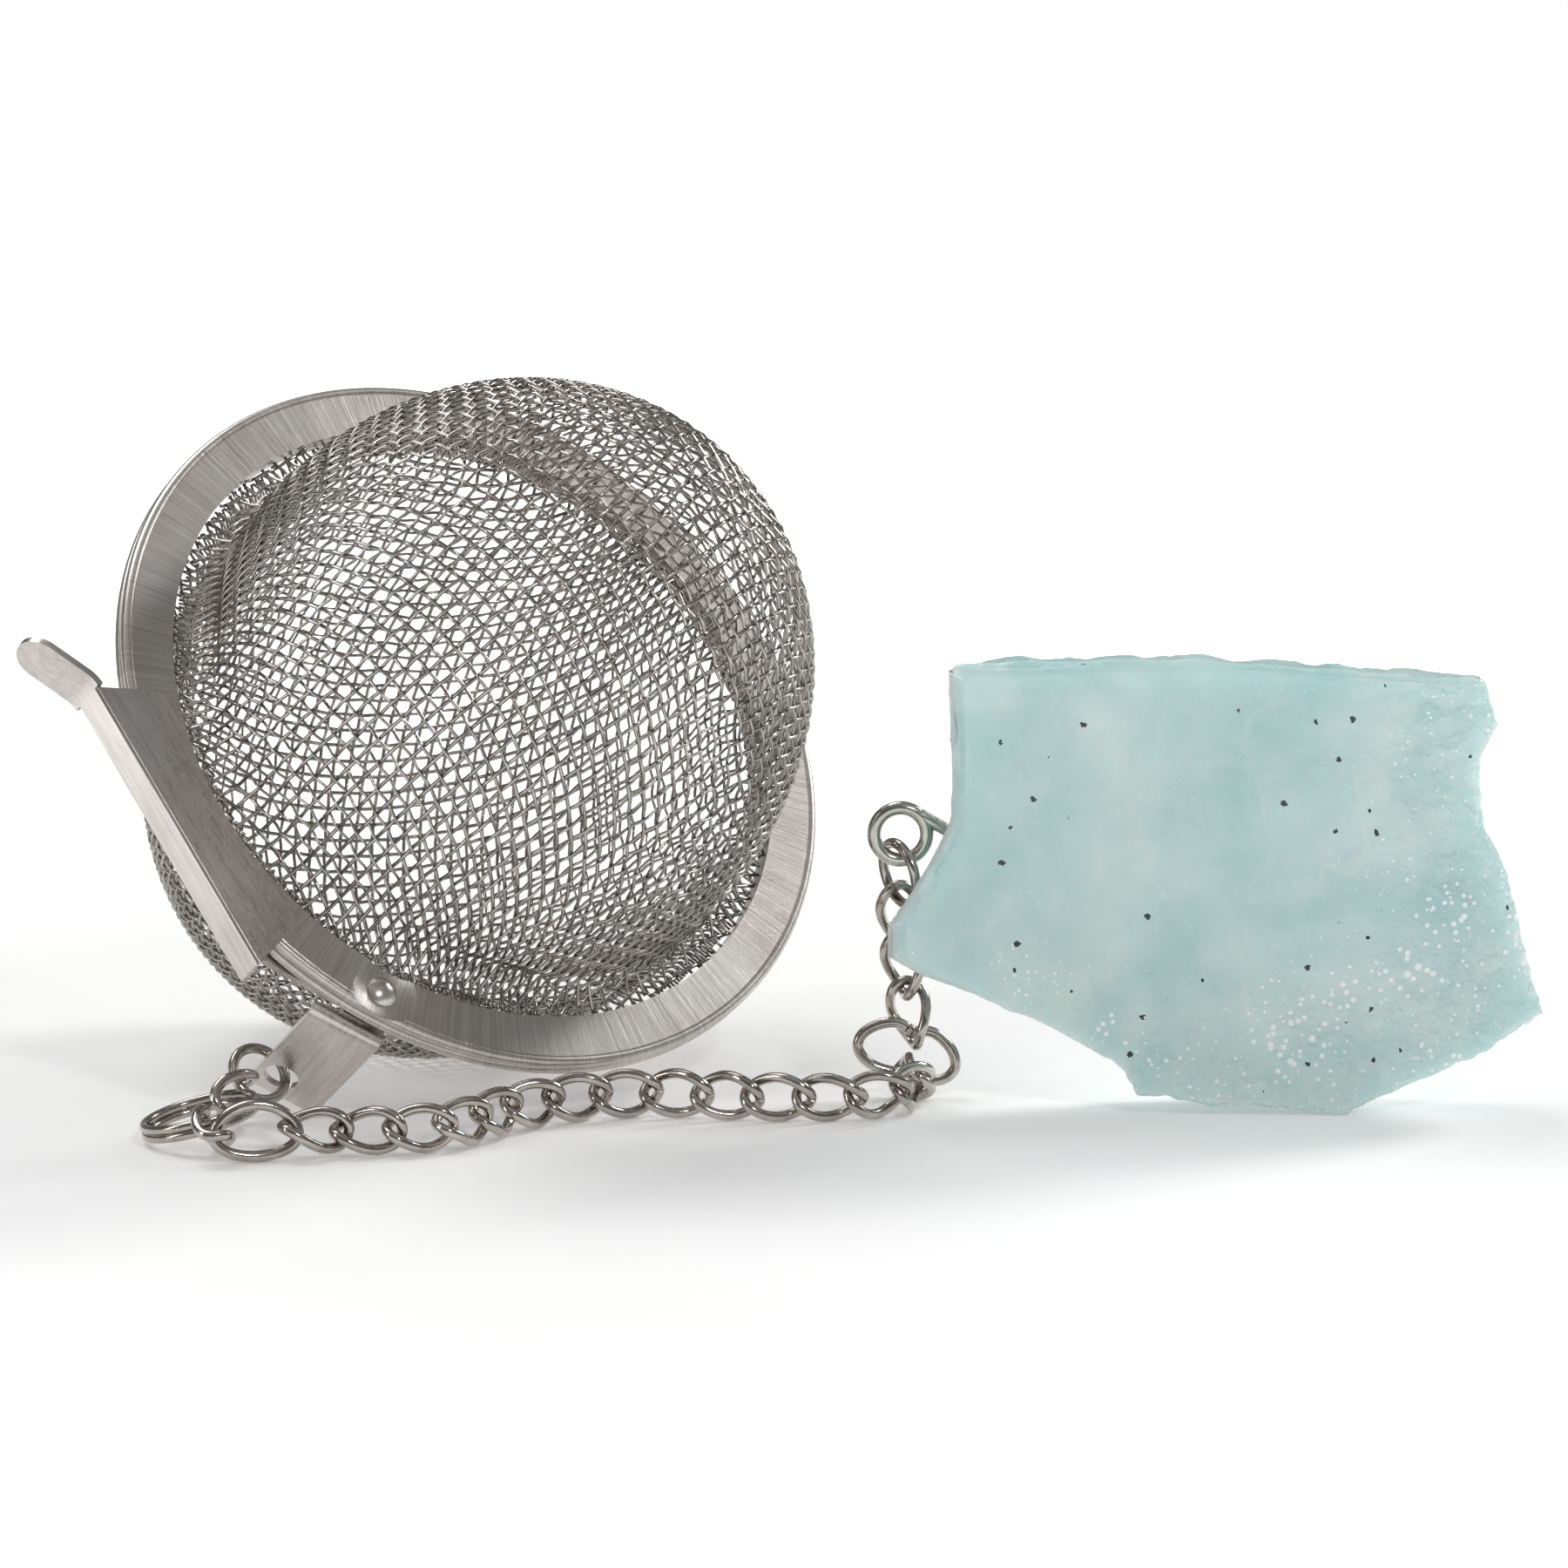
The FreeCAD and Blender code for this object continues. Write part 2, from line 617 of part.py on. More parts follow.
def ball_pieces():
    shapes = {
        "lid_rim": lid_rim(),
        "lid_mesh": bowl(),
        "pivot_rivet": rivet(),
        "chain_tab": chain_tab(),
        "cup_rim": cup_rim(),
        "cup_mesh": mirrored(bowl()),
        "latch_lever": latch_lever(),
    }
    for shape in shapes.values():
        shape.Placement = BALL_PLACE.multiply(shape.Placement)
    return shapes


def chain_pieces():
    """Chain pieces by name, in order from the tab to the pendant."""
    shapes = {}
    links = 0
    rolls = iter(LINK_ROLLS)
    for kind, start, end in chain_lie():
        if kind == "curb":
            links += 1
            across = across_of(start, end, next(rolls))
            shapes[f"link_{links:02d}"] = placed(curb_link(), start, end, across)
        elif kind == "tab_ring":
            shapes[kind] = placed(Part.makeTorus(TAB_RING_R, WIRE / 2), start, end, BALL_X)
        elif kind == "jump_ring":
            across = across_of(start, end, JUMP_RING_ROLL)
            shapes[kind] = placed(Part.makeTorus(JUMP_RING_R, WIRE / 2), start, end, across)
        elif kind == "split_ring":
            ring = split_ring()
            ring.Placement = FreeCAD.Placement(start, FreeCAD.Rotation(V(0, 0, 1), end - start))
            shapes[kind] = ring
        elif kind == "front_link":
            shapes[kind] = placed(big_link(front_point), start, end, FRONT_LINK_UP)
        elif kind == "back_link":
            shapes[kind] = placed(big_link(back_point), start, end, BACK_LINK_UP)
    return shapes


def build():
    """All pieces by name, moved so that the origin is under the whole object's middle."""
    shapes = ball_pieces()
    shapes.update(chain_pieces())
    shapes["peg_eye"] = peg_eye()
    shapes["stone"] = stone()
    whole = Part.makeCompound(list(shapes.values())).optimalBoundingBox(False)
    shift = V(-whole.Center.x, -whole.Center.y, -whole.ZMin)
    for shape in shapes.values():
        shape.translate(shift)
    return shapes, shift


if __name__ == "__main__":
    os.makedirs("parts", exist_ok=True)
    pieces, moved = build()
    for name, piece in pieces.items():
        piece.exportStep(f"parts/{name}.step")
        print(name, len(piece.Solids), piece.isValid(), round(piece.Volume, 2))
    print("moved by", moved)
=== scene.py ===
import json
import math

import bpy
import numpy as np
from mathutils import Matrix, Vector, noise


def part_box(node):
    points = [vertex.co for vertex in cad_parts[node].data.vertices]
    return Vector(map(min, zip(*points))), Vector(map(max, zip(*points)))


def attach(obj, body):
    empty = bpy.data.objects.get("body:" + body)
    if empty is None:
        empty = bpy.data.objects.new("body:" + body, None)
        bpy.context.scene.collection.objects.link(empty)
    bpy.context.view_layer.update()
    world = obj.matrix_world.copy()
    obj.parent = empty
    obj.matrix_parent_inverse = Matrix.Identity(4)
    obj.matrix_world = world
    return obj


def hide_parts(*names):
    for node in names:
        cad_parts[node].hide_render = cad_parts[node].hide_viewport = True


# The ball's own frame at rest: X to the rivet, Y, and Z from the cup to the lid.
AXIS_RISE, AXIS_TURN, RIVET_CLOCK = 36.6, -52.7, 39.3
RIVET_AT = 0.0262
LATCH_TURN = 39.2         # from the ball's X to the middle of the latch

# Woven bowls, in metres.
MESH_RIM_R = 0.0244       # where the brim meets the rim
MESH_R = 0.02205          # middle of the weave at the dome's foot
MESH_DEPTH = 0.02775      # from the foot to the pole
BRIM_R = 0.00235
FOOT = 0.00272            # height of the dome's foot
WEAVE_END = 0.02455       # the wires end this far out, behind the rim's edge
WEAVE_PITCH = 0.00125
WEAVE_WIRE = 0.00014
WEAVE_LIFT = 0.00013
WEAVE_SAMPLES = 3
LID_WEAVE_TURN, CUP_WEAVE_TURN = 60.0, 24.0

# Brushed sheet: how tightly the grain is packed across it and along it.
GRAIN_ACROSS, GRAIN_ALONG = 2600, 160
RIVET_GRAIN = 900

# Crystal, sizes in metres and texture scales per metre.
CRYSTAL_GRID = 0.00026
WAVE_DEPTH = 0.0004
EDGE_CHIP, EDGE_CHIP_DEPTH = 0.0045, 0.0007
DRUZY_CHIP, DRUZY_CHIP_DEPTH = 0.0011, 0.00035
DRUZY_GRIT_DEPTH = 0.00012
SPECK_SCALE = 420.0
# Cell scale of the white dots painted into the crystal's colour as glints (painted highlights).
PAINTED_GLINT_SCALE = 1500.0

# Camera.
CAMERA_RISE = 10.0
CAMERA_DISTANCE = 0.450
CAMERA_LENS = 140.3
TARGET_FROM_BALL = Vector((0.0228, -0.000785, -0.00445))


def ball_axes():
    rise, turn = math.radians(AXIS_RISE), math.radians(AXIS_TURN)
    level = Vector((math.cos(turn), math.sin(turn), 0))
    axis = level * math.cos(rise) + Vector((0, 0, math.sin(rise)))
    down = level * math.sin(rise) - Vector((0, 0, math.cos(rise)))
    to_rivet = Matrix.Rotation(math.radians(-RIVET_CLOCK), 3, axis) @ down
    return to_rivet, axis.cross(to_rivet), axis


# ---------------------------------------------------------------- node helpers

def new_material(name):
    """A new material, its node tree and its Principled shader."""
    material = bpy.data.materials.new(name)
    material.use_nodes = True
    tree = material.node_tree
    shader = tree.nodes["Principled BSDF"]
    return material, tree, shader


def node(tree, kind, **settings):
    """A node with its sockets and properties set by name."""
    made = tree.nodes.new(kind)
    for name, value in settings.items():
        if name in made.inputs:
            made.inputs[name].default_value = value
        else:
            setattr(made, name, value)
    return made


def maths(tree, operation, first, second=None, third=None, clamp=False):
    made = tree.nodes.new("ShaderNodeMath")
    made.operation = operation
    made.use_clamp = clamp
    for slot, value in enumerate((first, second, third)):
        if value is None:
            continue
        if isinstance(value, (int, float)):
            made.inputs[slot].default_value = value
        else:
            tree.links.new(value, made.inputs[slot])
    return made.outputs[0]


def ramp(tree, factor, stops):
    """A colour ramp over (place, grey or colour) stops."""
    made = tree.nodes.new("ShaderNodeValToRGB")
    elements = made.color_ramp.elements
    while len(elements) < len(stops):
        elements.new(0.5)
    for element, (place, colour) in zip(elements, stops):
        if isinstance(colour, (int, float)):
            colour = (colour, colour, colour)
        element.position = place
        element.color = (*colour, 1.0)
    tree.links.new(factor, made.inputs[0])
    return made.outputs["Color"]


def mixed(tree, factor, first, second, blend="MIX"):
    made = tree.nodes.new("ShaderNodeMix")
    made.data_type = "RGBA"
    made.blend_type = blend
    factor_socket, first_socket, second_socket = (made.inputs[i] for i in (0, 6, 7))
    for socket, value in ((factor_socket, factor), (first_socket, first), (second_socket, second)):
        if isinstance(value, (int, float)):
            socket.default_value = value
        elif isinstance(value, tuple):
            socket.default_value = (*value, 1.0)
        else:
            tree.links.new(value, socket)
    return made.outputs[2]


def noise_of(tree, vector, scale, detail=3.0, roughness=0.5, distortion=0.0):
    made = node(tree, "ShaderNodeTexNoise", Scale=scale, Detail=detail)
    made.inputs["Roughness"].default_value = roughness
    made.inputs["Distortion"].default_value = distortion
    tree.links.new(vector, made.inputs["Vector"])
    return made.outputs["Fac"]


def noise_colour(tree, vector, scale):
    made = node(tree, "ShaderNodeTexNoise", Scale=scale, Detail=2.0)
    tree.links.new(vector, made.inputs["Vector"])
    return made.outputs["Color"]


def voronoi_of(tree, vector, scale, feature="F1", output="Distance"):
    made = node(tree, "ShaderNodeTexVoronoi", feature=feature, Scale=scale)
    tree.links.new(vector, made.inputs["Vector"])
    return made.outputs[output]


def bump(tree, shader, height, strength, distance, below=None):
    made = node(tree, "ShaderNodeBump", Strength=strength, Distance=distance)
    tree.links.new(height, made.inputs["Height"])
    if below is not None:
        tree.links.new(below, made.inputs["Normal"])
    tree.links.new(made.outputs["Normal"], shader.inputs["Normal"])
    return made.outputs["Normal"]


def object_point(tree, to_local=None, stretch=(1, 1, 1)):
    """Object coordinates, turned into a piece's own frame and then stretched."""
    point = tree.nodes.new("ShaderNodeTexCoord").outputs["Object"]
    if to_local is not None:
        turn = node(tree, "ShaderNodeMapping")
        place, spin, _ = to_local.decompose()
        turn.inputs["Location"].default_value = place
        turn.inputs["Rotation"].default_value = spin.to_euler("XYZ")
        tree.links.new(point, turn.inputs["Vector"])
        point = turn.outputs["Vector"]
    if stretch != (1, 1, 1):
        pull = node(tree, "ShaderNodeMapping")
        pull.inputs["Scale"].default_value = stretch
        tree.links.new(point, pull.inputs["Vector"])
        point = pull.outputs["Vector"]
    return point


def polar_point(tree, point, round_scale, out_scale):
    """The angle round Z, the distance out and the height, each at its own scale."""
    parts = tree.nodes.new("ShaderNodeSeparateXYZ")
    tree.links.new(point, parts.inputs[0])
    x, y, z = parts.outputs
    squares = maths(tree, "ADD", maths(tree, "MULTIPLY", x, x), maths(tree, "MULTIPLY", y, y))
    out = maths(tree, "SQRT", squares)
    angle = maths(tree, "ARCTAN2", y, x)
    joined = tree.nodes.new("ShaderNodeCombineXYZ")
    tree.links.new(maths(tree, "MULTIPLY", angle, round_scale), joined.inputs[0])
    tree.links.new(maths(tree, "MULTIPLY", out, out_scale), joined.inputs[1])
    tree.links.new(maths(tree, "MULTIPLY", z, out_scale), joined.inputs[2])
    return joined.outputs[0]


# ---------------------------------------------------------------- metals

def steel_finish(tree, shader, grain, blotch, dark, light, rough):
    """Brushed steel: fine lines in colour, roughness and relief over soft stains."""
    shader.inputs["Metallic"].default_value = 1.0
    lines = ramp(tree, grain, [(0.3, dark), (0.7, light)])
    stain = ramp(tree, blotch, [(0.35, (0.86, 0.84, 0.82)), (0.65, (1.0, 1.0, 1.0))])
    tree.links.new(mixed(tree, 1.0, lines, stain, "MULTIPLY"), shader.inputs["Base Color"])
    low, high = rough
    roughness = maths(tree, "MULTIPLY_ADD", grain, high - low, low)
    tree.links.new(roughness, shader.inputs["Roughness"])
    bump(tree, shader, grain, 0.35, 0.00004)


def rim_material(to_ball):
    material, tree, shader = new_material("radial_brushed_steel")
    point = object_point(tree, to_ball)
    grain = noise_of(tree, polar_point(tree, point, 260.0, 60.0), 1.0, 4.0, 0.7)
    blotch = noise_of(tree, point, 140.0, 3.0)
    steel_finish(tree, shader, grain, blotch, (0.47, 0.445, 0.425), (0.76, 0.73, 0.705), (0.24, 0.42))
    return material


def latch_material(name, to_piece, stretch):
    """Sheet steel brushed along one direction of the piece."""
    material, tree, shader = new_material(name)
    grain = noise_of(tree, object_point(tree, to_piece, stretch), 1.0, 4.0, 0.65)
    blotch = noise_of(tree, object_point(tree), 160.0, 3.0)
    steel_finish(tree, shader, grain, blotch, (0.60, 0.57, 0.55), (0.78, 0.75, 0.73), (0.22, 0.34))
    return material


def wire_material(name, dark, light, rough, scale):
    """Drawn wire: bright metal with soft dull patches and fine scratches."""
    material, tree, shader = new_material(name)
    shader.inputs["Metallic"].default_value = 1.0
    point = object_point(tree)
    patches = noise_of(tree, point, scale, 4.0, 0.6)
    tree.links.new(ramp(tree, patches, [(0.3, dark), (0.7, light)]), shader.inputs["Base Color"])
    low, high = rough
    scratches = noise_of(tree, point, scale * 9, 5.0, 0.7)
    tree.links.new(maths(tree, "MULTIPLY_ADD", patches, high - low, low), shader.inputs["Roughness"])
    bump(tree, shader, scratches, 0.15, 0.00003)
    return material


# ---------------------------------------------------------------- woven bowls

def dome_at(point):
    """How far a point is outside the bowl's middle surface, and the way out there."""
    x, y, z = point
    if z >= FOOT:
        high = z - FOOT
        outside = ((x * x + y * y) / MESH_R ** 2 + (high / MESH_DEPTH) ** 2 - 1) * MESH_R / 2
        return outside, np.array((x, y, high * (MESH_R / MESH_DEPTH) ** 2)) / MESH_R
    away = math.hypot(x, y)
    if away > MESH_RIM_R:
        return z - FOOT + BRIM_R, np.array((0.0, 0.0, 1.0))
    short, low = MESH_RIM_R - away, FOOT - z
    way = np.array((x / away * short, y / away * short, low)) / BRIM_R
    return (BRIM_R ** 2 - short ** 2 - low ** 2) / (2 * BRIM_R), way


def apart_from(other):
    """Rule for being one pitch from another crossing."""
    def rule(point):
        gap = point - other
        return (gap @ gap - WEAVE_PITCH ** 2) / 2, gap
    return rule


def in_middle_plane(point):
    return point[1], np.array((0.0, 1.0, 0.0))


def solved(point, rules):
    for _ in range(12):
        found = [rule(point) for rule in rules]
        step = np.linalg.solve(np.array([way for _, way in found]), np.array([value for value, _ in found]))
        point = point - np.clip(step, -WEAVE_PITCH / 2, WEAVE_PITCH / 2)
    return point


def past_rim(point):
    return math.hypot(point[0], point[1]) - WEAVE_END if point[2] < FOOT else -1.0


def weave_quarter():
    """Crossings of a square weave draped over a quarter of the bowl, from the pole."""
    crossings = {(0, 0): np.array((0.0, 0.0, FOOT + MESH_DEPTH))}
    before = np.array((-WEAVE_PITCH, 0.0, FOOT + MESH_DEPTH))
    reach = 0
    while past_rim(crossings[reach, 0]) < 2 * WEAVE_PITCH:
        here = crossings[reach, 0]
        rules = (apart_from(here), dome_at, in_middle_plane)
        ahead = solved(2 * here - before, rules)
        before = here
        reach += 1
        crossings[reach, 0] = ahead
        crossings[0, reach] = ahead[[1, 0, 2]]
    for i in range(1, reach + 1):
        for j in range(1, reach + 1):
            left, down, corner = (crossings.get(k) for k in ((i - 1, j), (i, j - 1), (i - 1, j - 1)))
            if left is None or down is None or min(past_rim(left), past_rim(down)) > WEAVE_PITCH:
                continue
            crossings[i, j] = solved(left + down - corner, (apart_from(left), apart_from(down), dome_at))
    return crossings, reach


def wire_path(crossings, reach, row, along_x):
    """Samples of one wire, over and under its neighbours, cut off at the rim."""
    stops = []
    for step in range(-reach, reach + 1):
        i, j = (step, row) if along_x else (row, step)
        found = crossings.get((abs(i), abs(j)))
        if found is None:
            continue
        sign = 1 if (i + j + along_x) % 2 else -1
        stops.append((found * (math.copysign(1, i), math.copysign(1, j), 1), sign))
    path = []
    for (start, sign), (end, _) in zip(stops, stops[1:]):
        if min(past_rim(start), past_rim(end)) > 0:
            continue
        for k in range(WEAVE_SAMPLES + 1):
            part = k / WEAVE_SAMPLES
            point = start + (end - start) * part
            if path and k == 0:
                continue
            out = dome_at(point)[1]
            out = out / np.linalg.norm(out)
            lifted = point + out * (WEAVE_LIFT * sign * math.cos(math.pi * part))
            if past_rim(point) <= 0:
                path.append((lifted, out))
    return path


def woven_bowl(name, to_world, side):
    """Every wire of one bowl as thin four-sided tubes in one mesh; side is 1 or -1."""
    crossings, reach = weave_quarter()
    corners, faces = [], []
    for along_x in (True, False):
        for row in range(-reach, reach + 1):
            path = wire_path(crossings, reach, row, along_x)
            if len(path) < 3:
                continue
            points = np.array([p for p, _ in path])
            outs = np.array([o for _, o in path])
            ways = np.gradient(points, axis=0)
            across = np.cross(ways, outs)
            across /= np.linalg.norm(across, axis=1)[:, None]
            lift = np.cross(across, ways)
            lift /= np.linalg.norm(lift, axis=1)[:, None]
            first = len(corners) * 4
            ring = np.stack([points + WEAVE_WIRE * v for v in (across, lift, -across, -lift)], axis=1)
            corners.extend(ring)
            for k in range(len(path) - 1):
                a = first + 4 * k
                for s in range(4):
                    t = (s + 1) % 4
                    faces.append((a + s, a + t, a + 4 + t, a + 4 + s))
            last = first + 4 * (len(path) - 1)
            faces.append((first + 3, first + 2, first + 1, first))
            faces.append((last, last + 1, last + 2, last + 3))
    corners = np.array(corners).reshape(-1, 3)
    corners[:, 2] *= side
    if side < 0:
        faces = [face[::-1] for face in faces]
    mesh = bpy.data.meshes.new(name)
    mesh.from_pydata(corners.tolist(), [], faces)
    mesh.transform(to_world)
    mesh.polygons.foreach_set("use_smooth", [True] * len(mesh.polygons))
    piece = bpy.data.objects.new(name, mesh)
    bpy.context.scene.collection.objects.link(piece)
    return piece


# ---------------------------------------------------------------- crystal

def chipped(point, size):
    """Height of flat chips: 0 in the middle of a chip, more towards its edges."""
    distances, _ = noise.voronoi(point / size)
    return distances[0]


def crystal():
    """The drilled crystal, chipped round its edges and gritty to the right and below."""
    low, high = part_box("stone")
    source = frame["nodes"]["stone"]
    rough = bpy.data.objects.new("crystal_rough", source.data.copy())
    bpy.context.scene.collection.objects.link(rough)
    grid = rough.modifiers.new("grid", "REMESH")
    grid.mode = "VOXEL"
    grid.voxel_size = CRYSTAL_GRID
    soften = rough.modifiers.new("soften", "SMOOTH")
    soften.iterations = 6
    graph = bpy.context.evaluated_depsgraph_get()
    mesh = bpy.data.meshes.new_from_object(rough.evaluated_get(graph))
    bpy.data.objects.remove(rough)
    mesh.materials.clear()
    piece = bpy.data.objects.new("crystal", mesh)
    bpy.context.scene.collection.objects.link(piece)

    size = high - low
    moved = []
    for vertex in mesh.vertices:
        point, out = vertex.co, vertex.normal
        right = (point.x - low.x) / size.x
        up = (point.z - low.z) / size.z
        front = max(0.0, -out.y)
        druzy = min(1.0, max(0.0, (right - 0.72) * 5)) + min(1.0, max(0.0, (0.34 - up) * 4))
        druzy += 0.25 + 0.6 * (1 - front)
        druzy = min(1.0, druzy * (0.6 + 0.8 * noise.noise(point * 260)))
        druzy = max(0.0, druzy)
        sink = WAVE_DEPTH * (0.5 + 0.5 * noise.noise(point * 120))
        sink += EDGE_CHIP_DEPTH * (1 - front) * chipped(point, EDGE_CHIP)
        sink += DRUZY_CHIP_DEPTH * druzy * chipped(point, DRUZY_CHIP)
        sink += DRUZY_GRIT_DEPTH * druzy * (0.5 + 0.5 * noise.noise(point * 1900))
        moved.append(point - out * sink)
    moved = np.array(moved)
    least, most = moved.min(axis=0), moved.max(axis=0)
    moved = np.array(low) + (moved - least) / (most - least) * np.array(size)
    mesh.vertices.foreach_set("co", moved.ravel())
    mesh.update()
    mesh.polygons.foreach_set("use_smooth", [True] * len(mesh.polygons))
    return piece


def crystal_material(low, high):
    """Pale aqua crystal: cloudy colour, faint veins, black specks and small white dots painted in as glints
    (painted highlights).
    """
    material, tree, shader = new_material("aqua_crystal")
    point = object_point(tree)
    cloud = noise_of(tree, point, 75.0, 4.0, 0.55, 0.6)
    milky = (0.69, 0.80, 0.755)
    deep = (0.44, 0.66, 0.665)
    colour = ramp(tree, cloud, [(0.34, deep), (0.5, (0.56, 0.74, 0.73)), (0.66, milky)])
    warped = noise_of(tree, point, 230.0, 5.0, 0.6)
    colour = mixed(tree, 0.35, colour, ramp(tree, warped, [(0.3, deep), (0.7, (0.76, 0.85, 0.82))]))

    bent = tree.nodes.new("ShaderNodeVectorMath")
    bent.operation = "MULTIPLY_ADD"
    tree.links.new(noise_colour(tree, point, 180.0), bent.inputs[0])
    bent.inputs[1].default_value = (0.006, 0.006, 0.006)
    tree.links.new(point, bent.inputs[2])
    edge = voronoi_of(tree, bent.outputs[0], 70.0, "DISTANCE_TO_EDGE")
    thin = maths(tree, "MULTIPLY_ADD", edge, -45.0, 1.0, clamp=True)
    partly = maths(tree, "MULTIPLY_ADD", noise_of(tree, point, 90.0), 2.4, -1.1, clamp=True)
    colour = mixed(tree, maths(tree, "MULTIPLY", thin, partly), colour, (0.78, 0.84, 0.77))

    speck_at = voronoi_of(tree, point, SPECK_SCALE)
    ragged = maths(tree, "MULTIPLY_ADD", noise_of(tree, point, 2600.0, 2.0), 0.22, -0.02)
    chosen = tree.nodes.new("ShaderNodeSeparateColor")
    tree.links.new(voronoi_of(tree, point, SPECK_SCALE, "F1", "Color"), chosen.inputs[0])
    rare = maths(tree, "GREATER_THAN", chosen.outputs[0], 0.42)
    near = maths(tree, "LESS_THAN", speck_at, ragged)
    speck = maths(tree, "MULTIPLY", rare, near)
    colour = mixed(tree, speck, colour, (0.02, 0.035, 0.04))

    # Painted highlight: small white dots in the base colour stand in for glints. They come in patches, mostly
    # towards the right and the bottom.
    painted_glint_at = voronoi_of(tree, point, PAINTED_GLINT_SCALE)
    painted_glint_patch = maths(tree, "MULTIPLY_ADD", noise_of(tree, point, 170.0, 2.0), 0.9, -0.27, clamp=True)
    sides = tree.nodes.new("ShaderNodeSeparateXYZ")
    tree.links.new(point, sides.inputs[0])
    size = high - low
    right_from, down_from = low.x / size.x + 0.62, low.z / size.z + 0.48
    rightward = maths(tree, "MULTIPLY_ADD", sides.outputs[0], 3.2 / size.x, -3.2 * right_from, clamp=True)
    downward = maths(tree, "MULTIPLY_ADD", sides.outputs[2], -3.0 / size.z, 3.0 * down_from, clamp=True)
    sugary = maths(tree, "ADD", rightward, downward, clamp=True)
    painted_glint_spread = maths(tree, "MULTIPLY", maths(tree, "MULTIPLY_ADD", sugary, 0.8, 0.25), painted_glint_patch)
    painted_glint = maths(tree, "LESS_THAN", painted_glint_at, painted_glint_spread)
    colour = mixed(tree, painted_glint, colour, (0.93, 0.96, 0.95))
    tree.links.new(colour, shader.inputs["Base Color"])

    rough = maths(tree, "MULTIPLY_ADD", noise_of(tree, point, 500.0, 4.0, 0.7), 0.35, 0.05)
    tree.links.new(rough, shader.inputs["Roughness"])
    shader.inputs["IOR"].default_value = 1.56
    shader.inputs["Subsurface Weight"].default_value = 0.7
    shader.inputs["Subsurface Radius"].default_value = (0.5, 1.0, 1.0)
    shader.inputs["Subsurface Scale"].default_value = 0.003
    sugar = voronoi_of(tree, point, 2300.0)
    first = bump(tree, shader, noise_of(tree, point, 900.0, 5.0, 0.65), 0.25, 0.0002)
    grit = maths(tree, "MULTIPLY", sugar, maths(tree, "MULTIPLY_ADD", sugary, 0.9, 0.1))
    bump(tree, shader, grit, 0.6, 0.00016, first)
    return material


# ---------------------------------------------------------------- studio

def floor_material():
    material, tree, shader = new_material("pale_table_painted_glow")
    point = object_point(tree)
    tone = noise_of(tree, point, 30.0, 3.0)
    tree.links.new(ramp(tree, tone, [(0.3, 0.90), (0.7, 0.93)]), shader.inputs["Base Color"])
    shader.inputs["Roughness"].default_value = 0.6
    shader.inputs["Specular IOR Level"].default_value = 0.25
    # Painted light: the floor glows with emission 0.2 up to 7 cm from its origin, rising to 0.75 beyond 20 cm, so
    # the far floor reads white while the shadows near the middle stay.
    shader.inputs["Emission Color"].default_value = (1.0, 1.0, 1.0, 1.0)
    away = tree.nodes.new("ShaderNodeVectorMath")
    away.operation = "LENGTH"
    tree.links.new(point, away.inputs[0])
    painted_glow = ramp(tree, away.outputs["Value"], [(0.07, 0.20), (0.2, 0.75)])
    tree.links.new(painted_glow, shader.inputs["Emission Strength"])
    bump(tree, shader, noise_of(tree, point, 1400.0, 4.0), 0.1, 0.0001)
    return material


def studio(target):
    mesh = bpy.data.meshes.new("floor")
    half = 4.0
    corners = [(-half, -half, 0), (half, -half, 0), (half, half, 0), (-half, half, 0)]
    mesh.from_pydata(corners, [], [(0, 1, 2, 3)])
    floor = bpy.data.objects.new("floor", mesh)
    bpy.context.scene.collection.objects.link(floor)
    floor.data.materials.append(floor_material())

    def softbox(name, place, size, power, colour=(1, 1, 1)):
        data = bpy.data.lights.new(name, "AREA")
        data.shape = "RECTANGLE"
        data.size, data.size_y = size
        data.energy = power
        data.color = colour
        lamp = bpy.data.objects.new(name, data)
        bpy.context.scene.collection.objects.link(lamp)
        lamp.location = target + Vector(place)
        lamp.rotation_mode = "QUATERNION"
        lamp.rotation_quaternion = (-Vector(place)).to_track_quat("-Z", "Y")

    softbox("key", (0.72, 0.50, 0.55), (0.30, 0.30), 5.0, (1.0, 0.985, 0.97))
    softbox("top", (-0.35, 0.35, 0.9), (0.7, 0.5), 4.0)
    softbox("left", (-0.75, -0.35, 0.35), (0.15, 0.5), 1.2)
    softbox("front", (0.30, -0.65, 0.55), (0.08, 0.08), 1.2)

    world = bpy.data.worlds.new("studio")
    world.use_nodes = True
    tree = world.node_tree
    back = tree.nodes["Background"]
    way = tree.nodes.new("ShaderNodeTexCoord").outputs["Generated"]
    parts = tree.nodes.new("ShaderNodeSeparateXYZ")
    tree.links.new(way, parts.inputs[0])
    height = maths(tree, "MULTIPLY_ADD", parts.outputs[2], 0.5, 0.5)
    sky = ramp(tree, height, [(0.5, 0.50), (0.6, 0.16), (0.8, 0.14), (1.0, 0.40)])
    tree.links.new(sky, back.inputs["Color"])
    back.inputs["Strength"].default_value = 1.0
    bpy.context.scene.world = world

    data = bpy.data.cameras.new("camera")
    data.lens = CAMERA_LENS
    data.sensor_width = 36.0
    data.clip_start, data.clip_end = 0.01, 20.0
    camera = bpy.data.objects.new("camera", data)
    bpy.context.scene.collection.objects.link(camera)
    rise = math.radians(CAMERA_RISE)
    back_way = Vector((0, -math.cos(rise), math.sin(rise)))
    camera.location = target + back_way * CAMERA_DISTANCE
    camera.rotation_mode = "QUATERNION"
    camera.rotation_quaternion = (-back_way).to_track_quat("-Z", "Y")
    bpy.context.scene.camera = camera
    bpy.context.scene.view_settings.view_transform = "Standard"


# ---------------------------------------------------------------- the scene

def dress(piece, material):
    """Gives a CAD node or a new piece its material."""
    if not piece.material_slots:
        piece.data.materials.append(material)
    for slot in piece.material_slots:
        slot.material = material


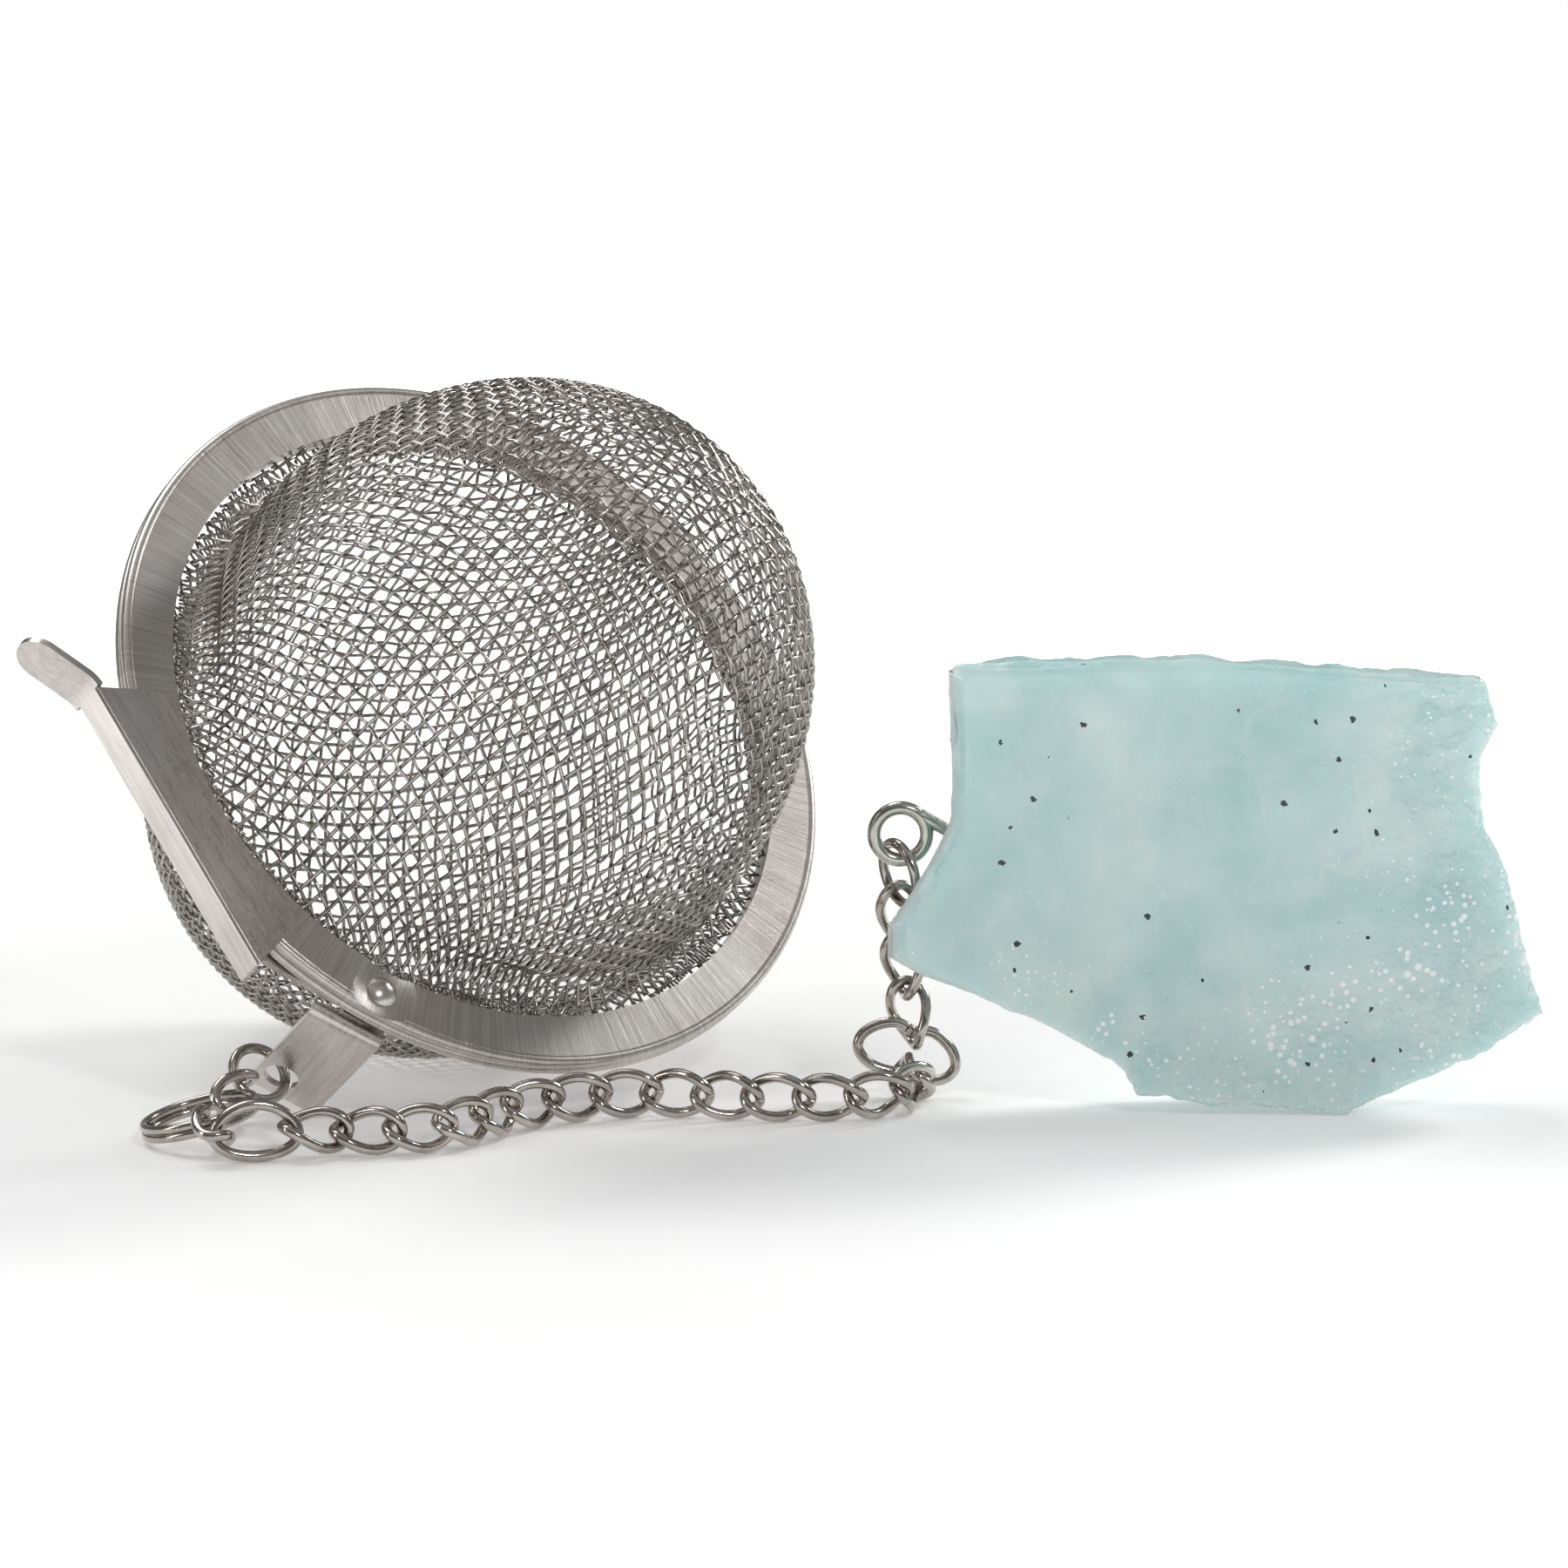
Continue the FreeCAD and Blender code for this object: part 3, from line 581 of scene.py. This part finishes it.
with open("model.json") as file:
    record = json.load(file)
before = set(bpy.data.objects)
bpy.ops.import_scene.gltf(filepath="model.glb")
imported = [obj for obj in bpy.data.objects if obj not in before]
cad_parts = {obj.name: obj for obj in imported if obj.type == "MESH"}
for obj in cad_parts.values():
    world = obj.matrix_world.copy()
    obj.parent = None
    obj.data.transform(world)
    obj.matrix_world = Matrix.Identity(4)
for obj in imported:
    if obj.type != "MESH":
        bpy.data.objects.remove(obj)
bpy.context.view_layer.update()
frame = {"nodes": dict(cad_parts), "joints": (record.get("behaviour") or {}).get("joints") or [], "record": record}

swivel = next(j for j in frame["joints"] if j["name"] == "cup_swivel")
ball_x, ball_y, ball_z = ball_axes()
centre = Vector(swivel["pos_m"]) - ball_x * RIVET_AT
to_world = Matrix.Translation(centre) @ Matrix((ball_x, ball_y, ball_z)).transposed().to_4x4()
to_ball = to_world.inverted()

nodes = frame["nodes"]
rim_steel = rim_material(to_ball)
dress(nodes["lid_rim"], rim_steel)
dress(nodes["cup_rim"], rim_steel)
latch_grain = (GRAIN_ACROSS, GRAIN_ALONG, GRAIN_ACROSS)
tab_grain = (GRAIN_ACROSS, GRAIN_ACROSS, GRAIN_ALONG)
along_latch = Matrix.Rotation(math.radians(LATCH_TURN), 4, "Z") @ to_ball
dress(nodes["latch_lever"], latch_material("latch_steel", along_latch, latch_grain))
dress(nodes["chain_tab"], latch_material("tab_steel", to_ball, tab_grain))
dress(nodes["pivot_rivet"], latch_material("rivet_steel", to_ball, (RIVET_GRAIN,) * 3))

chain_metal = wire_material("chain_nickel", (0.36, 0.33, 0.30), (0.62, 0.58, 0.54), (0.08, 0.24), 420.0)
eye_metal = wire_material("eye_wire", (0.42, 0.42, 0.37), (0.62, 0.62, 0.56), (0.14, 0.32), 500.0)
mesh_metal = wire_material("mesh_steel", (0.27, 0.25, 0.235), (0.56, 0.53, 0.505), (0.10, 0.28), 700.0)
for members in frame["record"]["behaviour"]["bodies"].values():
    for name in members:
        if name.startswith("link_") or name.endswith("_ring") or name.endswith("_link"):
            dress(nodes[name], chain_metal)
dress(nodes["peg_eye"], eye_metal)

for node_name, body, weave_turn, side in (
    ("lid_mesh", "lid", LID_WEAVE_TURN, 1),
    ("cup_mesh", "cup", CUP_WEAVE_TURN, -1),
):
    turned = to_world @ Matrix.Rotation(math.radians(weave_turn), 4, "Z")
    woven = woven_bowl(f"{body}_weave", turned, side)
    dress(woven, mesh_metal)
    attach(woven, body)
    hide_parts(node_name)

gem = crystal()
dress(gem, crystal_material(*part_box("stone")))
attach(gem, "pendant")
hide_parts("stone")

studio(centre + TARGET_FROM_BALL)
